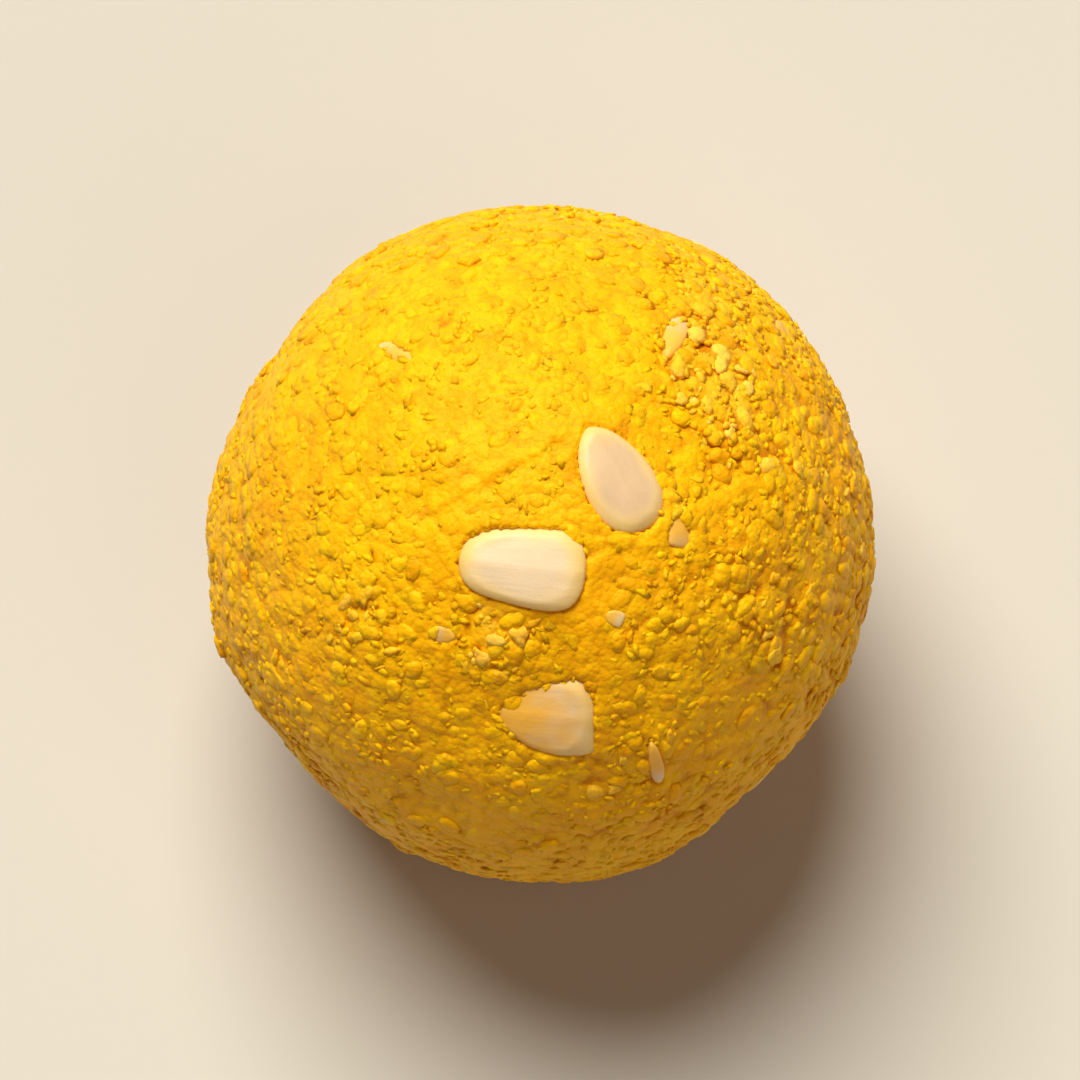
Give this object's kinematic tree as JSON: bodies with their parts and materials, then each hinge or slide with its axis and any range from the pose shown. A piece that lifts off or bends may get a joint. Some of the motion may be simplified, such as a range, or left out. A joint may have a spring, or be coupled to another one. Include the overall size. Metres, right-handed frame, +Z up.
{
  "type": "motichoor ladoo",
  "caption": "Round hand-rolled sweet of fine yellow boondi with pale melon seeds pressed in, resting on a small flat spot.",
  "frame": {"origin": "middle of the bounding box's underside, on the flat spot that the ladoo rests on", "axes": "+Z up from the flat spot to the crown; -Y is the front, nearest the viewer; +X is to the viewer's right"},
  "size_m": [0.0466, 0.0474, 0.0439],
  "materials": {
    "boondi": "moist, finely grained pressed boondi, satin",
    "melon_seed": "smooth cream seed kernel, satin, stained yellow at its edges",
    "crumb": "pale yellow loose boondi crumbs and husk slivers"
  },
  "bodies": {
    "root": {"ladoo": "boondi"}
  },
  "joints": []
}
